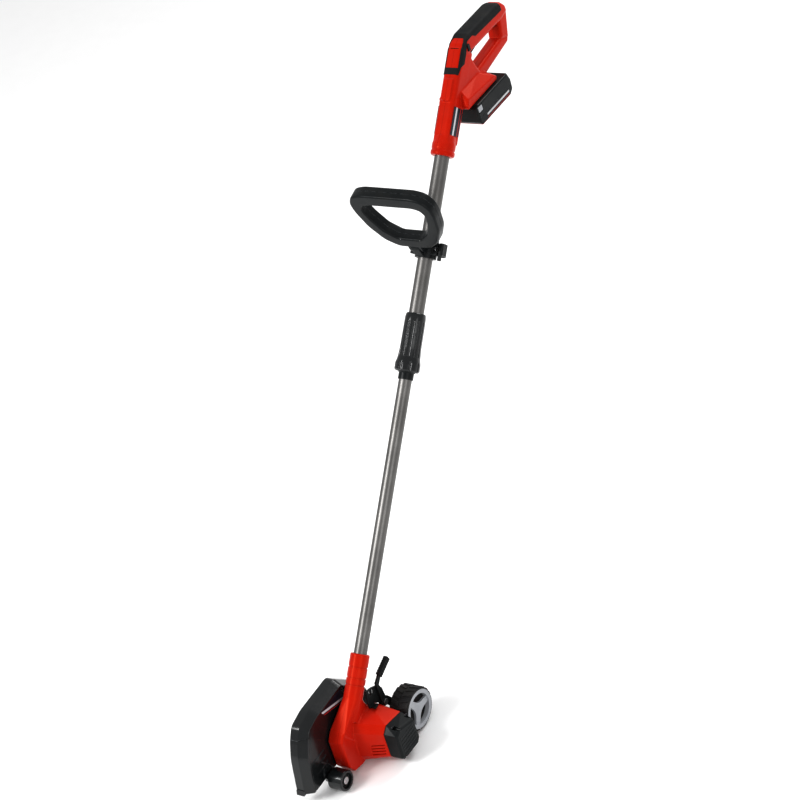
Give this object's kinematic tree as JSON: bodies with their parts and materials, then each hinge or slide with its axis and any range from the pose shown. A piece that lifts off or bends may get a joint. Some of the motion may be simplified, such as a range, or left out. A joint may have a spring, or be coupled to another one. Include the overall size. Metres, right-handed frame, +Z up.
{
  "type": "battery lawn edger",
  "caption": "Battery lawn edger with a telescopic shaft, bevelled blade guard, side motor, depth lever with rear wheel, front guide roller and two handles.",
  "frame": {"origin": "centre of the blade arbor on the spindle axis, at the shaft's middle plane; the ground the wheels roll on is 42 mm below it", "axes": "+X to the motor side along the spindle, +Y rearwards to the user, +Z up, with the shaft leaning back 45 degrees as in use"},
  "size_m": [0.17, 1.0718, 0.9223],
  "materials": {
    "red_plastic": "satin",
    "red_trim": "matte",
    "black_plastic": "fine-grained matte",
    "gloss_black": "satin gloss",
    "soft_grip": "matte",
    "tyre_rubber": "matte",
    "grey_plastic": "satin",
    "label_film": "gloss",
    "tube_aluminium": "anodised",
    "steel": "zinc plated",
    "blade_steel": "hardened",
    "zinc_plate": "plated",
    "ferrite": "matte",
    "inner_plastic": "matte",
    "cell_wrap": "satin",
    "cable_jacket": "matte"
  },
  "bodies": {
    "rear_handle": {"rear_housing_left": "red_plastic", "rear_housing_right": "red_plastic", "grip_overmould": "soft_grip", "side_labels": "label_film", "switch_module": "inner_plastic", "terminal_block": "inner_plastic", "handle_screws": "steel", "trigger_pin": "steel", "trigger_spring": "steel", "upper_tube": "tube_aluminium", "tube_collet": "black_plastic"},
    "trigger": {"trigger": "black_plastic"},
    "lock_button": {"lock_button": "black_plastic"},
    "battery": {"battery_case": "black_plastic", "battery_base": "red_trim", "battery_cells": "cell_wrap"},
    "release_left": {"battery_button_left": "grey_plastic"},
    "release_right": {"battery_button_right": "grey_plastic"},
    "sleeve": {"clamp_sleeve": "gloss_black"},
    "aux_clamp": {"aux_clamp_front": "black_plastic", "aux_clamp_rear": "black_plastic", "aux_clamp_bolt": "steel"},
    "aux_loop": {"aux_loop_upper": "black_plastic", "aux_loop_lower": "black_plastic", "aux_loop_screws": "steel"},
    "cam_lever": {"clamp_lever": "black_plastic"},
    "cutting_head": {"lower_tube": "tube_aluminium", "motor_lead": "cable_jacket", "housing_left": "red_plastic", "housing_right": "red_plastic", "housing_screws": "steel", "motor_cover": "black_plastic", "cover_screws": "steel", "gear_plate": "zinc_plate", "motor_can": "zinc_plate", "motor_magnets": "ferrite", "motor_end_bell": "inner_plastic", "spindle_bearings": "steel", "blade_guard": "gloss_black", "guard_deflector": "gloss_black", "guard_label": "label_film", "guard_screws": "steel", "roller_bolt": "steel", "depth_quadrant": "black_plastic", "lever_pin": "steel"},
    "spindle": {"drive_gear": "steel", "blade_spindle": "steel", "blade_flange": "steel", "blade": "blade_steel", "blade_washer": "steel", "blade_nut": "steel"},
    "rotor": {"motor_rotor": "steel", "motor_fan": "inner_plastic", "motor_pinion": "steel"},
    "roller": {"guide_roller": "gloss_black"},
    "wheel_arm": {"depth_lever": "black_plastic", "lever_grip": "soft_grip", "wheel_axle": "steel"},
    "wheel": {"wheel_hub": "grey_plastic", "wheel_tyre": "tyre_rubber"}
  },
  "joints": [
    {"name": "telescope", "type": "slide", "parent": "rear_handle", "child": "cutting_head", "axis": [0, 0.7071, 0.7071], "range_m": [0, 0.16]},
    {"name": "sleeve_twist", "type": "hinge", "parent": "rear_handle", "child": "sleeve", "pos_m": [0, 0.42592, 0.46652], "axis": [0, 0.7071, 0.7071], "range_deg": [0, 90]},
    {"name": "clamp_slide", "type": "slide", "parent": "rear_handle", "child": "aux_clamp", "axis": [0, 0.7071, 0.7071], "range_m": [-0.07, 0.12]},
    {"name": "loop_tilt", "type": "hinge", "parent": "aux_clamp", "child": "aux_loop", "pos_m": [0, 0.5585, 0.635], "axis": [1, 0, 0], "range_deg": [-18, 28]},
    {"name": "cam_open", "type": "hinge", "parent": "aux_clamp", "child": "cam_lever", "pos_m": [0.022, 0.58573, 0.60511], "axis": [0, 0.7071, 0.7071], "range_deg": [0, 100]},
    {"name": "trigger_pull", "type": "hinge", "parent": "rear_handle", "child": "trigger", "pos_m": [0, 0.915, 0.853], "axis": [1, 0, 0], "range_deg": [-4.5, 0], "stiffness_Nm_per_rad": 2, "springref_deg": 3.44},
    {"name": "lock_push", "type": "slide", "parent": "rear_handle", "child": "lock_button", "axis": [-1, 0, 0], "range_m": [-0.0015, 0.0015], "stiffness_N_per_m": 500},
    {"name": "battery_slide", "type": "slide", "parent": "rear_handle", "child": "battery", "axis": [0, 1, 0], "range_m": [0, 0.11]},
    {"name": "release_left_push", "type": "slide", "parent": "battery", "child": "release_left", "axis": [1, 0, 0], "range_m": [0, 0.0015], "stiffness_N_per_m": 800, "springref_m": -0.001},
    {"name": "release_right_push", "type": "slide", "parent": "battery", "child": "release_right", "axis": [-1, 0, 0], "range_m": [0, 0.0015], "stiffness_N_per_m": 800, "springref_m": -0.001},
    {"name": "blade_spin", "type": "hinge", "parent": "cutting_head", "child": "spindle", "pos_m": [0, 0, 0], "axis": [1, 0, 0], "continuous": true},
    {"name": "motor_spin", "type": "hinge", "parent": "cutting_head", "child": "rotor", "pos_m": [0, 0.0419, 0.00293], "axis": [1, 0, 0], "continuous": true},
    {"name": "roller_spin", "type": "hinge", "parent": "cutting_head", "child": "roller", "pos_m": [0, -0.0596, -0.0232], "axis": [1, 0, 0], "continuous": true},
    {"name": "depth_swing", "type": "hinge", "parent": "cutting_head", "child": "wheel_arm", "pos_m": [0, 0.078, 0.033], "axis": [1, 0, 0], "range_deg": [0, 16]},
    {"name": "wheel_spin", "type": "hinge", "parent": "wheel_arm", "child": "wheel", "pos_m": [0, 0.1085, -0.0035], "axis": [1, 0, 0], "continuous": true}
  ],
  "couplings": [
    {"joint": "motor_spin", "follows": "blade_spin", "ratio": -2.5}
  ]
}
